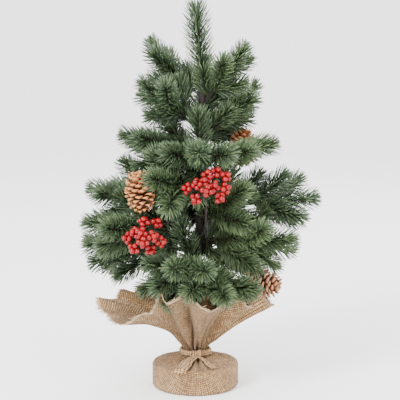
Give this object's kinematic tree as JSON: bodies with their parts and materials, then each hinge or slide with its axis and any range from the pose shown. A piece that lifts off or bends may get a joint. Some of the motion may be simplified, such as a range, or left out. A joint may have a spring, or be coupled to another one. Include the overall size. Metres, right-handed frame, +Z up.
{
  "type": "artificial tabletop tree",
  "caption": "Small artificial evergreen with bendable moulded sprigs, pine cones and berry picks, standing in a weighted base wrapped in burlap.",
  "frame": {"origin": "centre of the flat underside that the tree rests on", "axes": "+Z up along the trunk, -Y towards the front of the tree, +X to the right seen from the front"},
  "size_m": [0.3646, 0.2955, 0.5847],
  "materials": {
    "needles": "moulded evergreen needles, satin",
    "wire_tape": "dark brown crinkled tape",
    "burlap": "coarse plain-weave jute",
    "cone_wood": "dry natural pine cone",
    "berry_red": "glossy red lacquer",
    "tub_plastic": "black moulded dish",
    "cement": "rough cast cement",
    "pole_steel": "plain drawn wire"
  },
  "bodies": {
    "root": {"base_tub": "tub_plastic", "burlap_tie": "burlap", "burlap_wrap": "burlap", "cement_weight": "cement", "trunk_pole": "pole_steel", "trunk_tape": "wire_tape"},
    "berry_pick_left": {"berry_pick_left_head": "berry_red", "berry_pick_left_wire": "wire_tape"},
    "berry_pick_right": {"berry_pick_right_head": "berry_red", "berry_pick_right_wire": "wire_tape"},
    "branch_01": {"branch_01_spray": "needles", "branch_01_stem": "wire_tape"},
    "branch_02": {"branch_02_spray": "needles", "branch_02_stem": "wire_tape"},
    "branch_03": {"branch_03_spray": "needles", "branch_03_stem": "wire_tape"},
    "branch_04": {"branch_04_spray": "needles", "branch_04_stem": "wire_tape"},
    "branch_05": {"branch_05_spray": "needles", "branch_05_stem": "wire_tape"},
    "branch_06": {"branch_06_spray": "needles", "branch_06_stem": "wire_tape"},
    "branch_07": {"branch_07_spray": "needles", "branch_07_stem": "wire_tape"},
    "branch_08": {"branch_08_spray": "needles", "branch_08_stem": "wire_tape"},
    "branch_09": {"branch_09_spray": "needles", "branch_09_stem": "wire_tape"},
    "branch_10": {"branch_10_spray": "needles", "branch_10_stem": "wire_tape"},
    "branch_11": {"branch_11_spray": "needles", "branch_11_stem": "wire_tape"},
    "branch_12": {"branch_12_spray": "needles", "branch_12_stem": "wire_tape"},
    "branch_13": {"branch_13_spray": "needles", "branch_13_stem": "wire_tape"},
    "branch_14": {"branch_14_spray": "needles", "branch_14_stem": "wire_tape"},
    "branch_15": {"branch_15_spray": "needles", "branch_15_stem": "wire_tape"},
    "branch_16": {"branch_16_spray": "needles", "branch_16_stem": "wire_tape"},
    "branch_17": {"branch_17_spray": "needles", "branch_17_stem": "wire_tape"},
    "branch_18": {"branch_18_spray": "needles", "branch_18_stem": "wire_tape"},
    "branch_19": {"branch_19_spray": "needles", "branch_19_stem": "wire_tape"},
    "branch_20": {"branch_20_spray": "needles", "branch_20_stem": "wire_tape"},
    "branch_21": {"branch_21_spray": "needles", "branch_21_stem": "wire_tape"},
    "leader": {"leader_spray": "needles", "leader_stem": "wire_tape"},
    "pinecone_left": {"pinecone_left": "cone_wood", "pinecone_left_wire": "wire_tape"},
    "pinecone_right_lower": {"pinecone_right_lower": "cone_wood", "pinecone_right_lower_wire": "wire_tape"},
    "pinecone_right_upper": {"pinecone_right_upper": "cone_wood", "pinecone_right_upper_wire": "wire_tape"}
  },
  "joints": [
    {"name": "berry_pick_left_bend", "type": "hinge", "parent": "root", "child": "berry_pick_left", "pos_m": [-0.00112, -0.00586, 0.218], "axis": [-0.6947, 0.7193, 0], "range_deg": [-17, 3]},
    {"name": "berry_pick_right_bend", "type": "hinge", "parent": "root", "child": "berry_pick_right", "pos_m": [0.00723, -0.00813, 0.236], "axis": [-0.9744, -0.225, 0], "range_deg": [-25, 5]},
    {"name": "branch_01_bend", "type": "hinge", "parent": "root", "child": "branch_01", "pos_m": [0.01681, -0.00248, 0.44], "axis": [-0.342, -0.9397, 0], "range_deg": [-25, 15]},
    {"name": "branch_02_bend", "type": "hinge", "parent": "root", "child": "branch_02", "pos_m": [0.00266, 0.00152, 0.432], "axis": [0.2079, 0.9781, 0], "range_deg": [-25, 25]},
    {"name": "branch_03_bend", "type": "hinge", "parent": "root", "child": "branch_03", "pos_m": [0.01013, 0.00735, 0.418], "axis": [0.9962, -0.0872, 0], "range_deg": [-25, 25]},
    {"name": "branch_04_bend", "type": "hinge", "parent": "root", "child": "branch_04", "pos_m": [0.00269, -0.00397, 0.398], "axis": [-0.5299, 0.848, 0], "range_deg": [-25, 25]},
    {"name": "branch_05_bend", "type": "hinge", "parent": "root", "child": "branch_05", "pos_m": [0.01554, 0.00331, 0.386], "axis": [0.4384, -0.8988, 0], "range_deg": [-7, 12]},
    {"name": "branch_06_bend", "type": "hinge", "parent": "root", "child": "branch_06", "pos_m": [0.00047, -0.0008, 0.358], "axis": [-0.1045, 0.9945, 0], "range_deg": [-25, 17]},
    {"name": "branch_07_bend", "type": "hinge", "parent": "root", "child": "branch_07", "pos_m": [0.01162, 0.00689, 0.364], "axis": [0.8988, -0.4384, 0], "range_deg": [-5, 7]},
    {"name": "branch_08_bend", "type": "hinge", "parent": "root", "child": "branch_08", "pos_m": [0.00767, -0.00773, 0.35], "axis": [-0.9994, 0.0349, 0], "range_deg": [-10, 25]},
    {"name": "branch_09_bend", "type": "hinge", "parent": "root", "child": "branch_09", "pos_m": [0.01548, -0.00135, 0.345], "axis": [-0.1736, -0.9848, 0], "range_deg": [-25, 25]},
    {"name": "branch_10_bend", "type": "hinge", "parent": "root", "child": "branch_10", "pos_m": [0.00271, 0.00617, 0.332], "axis": [0.788, 0.6157, 0], "range_deg": [-25, 22]},
    {"name": "branch_11_bend", "type": "hinge", "parent": "root", "child": "branch_11", "pos_m": [0.00269, -0.00677, 0.305], "axis": [-0.848, 0.5299, 0], "range_deg": [-12, 15]},
    {"name": "branch_12_bend", "type": "hinge", "parent": "root", "child": "branch_12", "pos_m": [-0.00154, 0.00112, 0.285], "axis": [0.1392, 0.9903, 0], "range_deg": [-12, 25]},
    {"name": "branch_13_bend", "type": "hinge", "parent": "root", "child": "branch_13", "pos_m": [0.01439, 0.00028, 0.276], "axis": [0.0349, -0.9994, 0], "range_deg": [-17, 25]},
    {"name": "branch_14_bend", "type": "hinge", "parent": "root", "child": "branch_14", "pos_m": [0.0058, 0.00817, 0.268], "axis": [0.9994, 0.0349, 0], "range_deg": [-25, 25]},
    {"name": "branch_15_bend", "type": "hinge", "parent": "root", "child": "branch_15", "pos_m": [0.01136, -0.00611, 0.258], "axis": [-0.7431, -0.6691, 0], "range_deg": [-25, 25]},
    {"name": "branch_16_bend", "type": "hinge", "parent": "root", "child": "branch_16", "pos_m": [-0.00253, -0.00258, 0.238], "axis": [-0.309, 0.9511, 0], "range_deg": [-25, 10]},
    {"name": "branch_17_bend", "type": "hinge", "parent": "root", "child": "branch_17", "pos_m": [0.01285, -0.00315, 0.222], "axis": [-0.3746, -0.9272, 0], "range_deg": [-17, 20]},
    {"name": "branch_18_bend", "type": "hinge", "parent": "root", "child": "branch_18", "pos_m": [-0.00326, 0.00291, 0.208], "axis": [0.342, 0.9397, 0], "range_deg": [-25, 25]},
    {"name": "branch_19_bend", "type": "hinge", "parent": "root", "child": "branch_19", "pos_m": [0.01012, 0.00652, 0.205], "axis": [0.766, -0.6428, 0], "range_deg": [-25, 25]},
    {"name": "branch_20_bend", "type": "hinge", "parent": "root", "child": "branch_20", "pos_m": [0.00166, -0.00817, 0.19], "axis": [-0.9511, 0.309, 0], "range_deg": [-12, 17]},
    {"name": "branch_21_bend", "type": "hinge", "parent": "root", "child": "branch_21", "pos_m": [0.007, -0.00813, 0.178], "axis": [-0.9397, -0.342, 0], "range_deg": [-12, 12]},
    {"name": "leader_bend", "type": "hinge", "parent": "root", "child": "leader", "pos_m": [0.01073, 0, 0.4729], "axis": [0, 1, 0], "range_deg": [-25, 20]},
    {"name": "pinecone_left_bend", "type": "hinge", "parent": "root", "child": "pinecone_left", "pos_m": [0.00089, -0.00647, 0.262], "axis": [-0.788, 0.6157, 0], "range_deg": [-3, 7]},
    {"name": "pinecone_right_lower_bend", "type": "hinge", "parent": "root", "child": "pinecone_right_lower", "pos_m": [0.01146, -0.00409, 0.166], "axis": [-0.4695, -0.8829, 0], "range_deg": [-2, 17]},
    {"name": "pinecone_right_upper_bend", "type": "hinge", "parent": "root", "child": "pinecone_right_upper", "pos_m": [0.0142, 0.00371, 0.318], "axis": [0.4695, -0.8829, 0], "range_deg": [-25, 3]}
  ]
}
